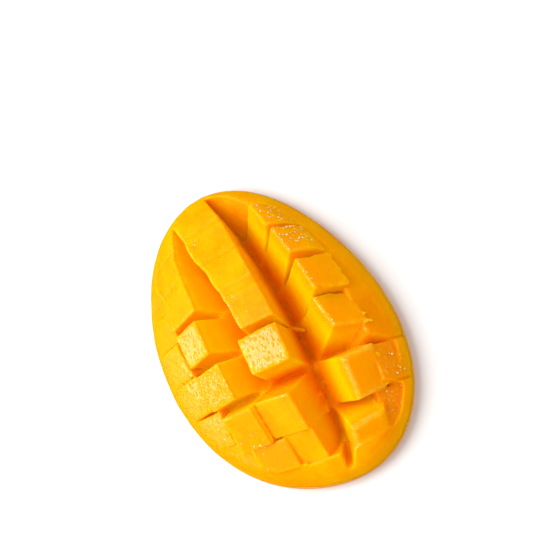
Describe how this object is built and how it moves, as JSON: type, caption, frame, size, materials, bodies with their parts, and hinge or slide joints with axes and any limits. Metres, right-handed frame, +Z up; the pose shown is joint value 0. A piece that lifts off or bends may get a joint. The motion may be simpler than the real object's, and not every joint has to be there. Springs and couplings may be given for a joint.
{
  "type": "scored mango cheek",
  "caption": "Half of a ripe mango, scored into cubes on its peel and turned inside out so the flesh stands up in blocks, lying on its skin.",
  "frame": {"origin": "middle of the footprint, on the surface that the cheek lies on", "axes": "+X along the cheek's length towards its blunt end, +Y across it, +Z up out of the cut face"},
  "size_m": [0.1184, 0.0852, 0.0312],
  "materials": {
    "mango_flesh": "moist ripe mango flesh, deep yellow and slightly glossy, orange in the cuts",
    "mango_peel": "thin waxy yellow-orange mango skin with fine pale dots"
  },
  "bodies": {
    "root": {"mango_cheek": "mango_flesh"}
  },
  "joints": []
}
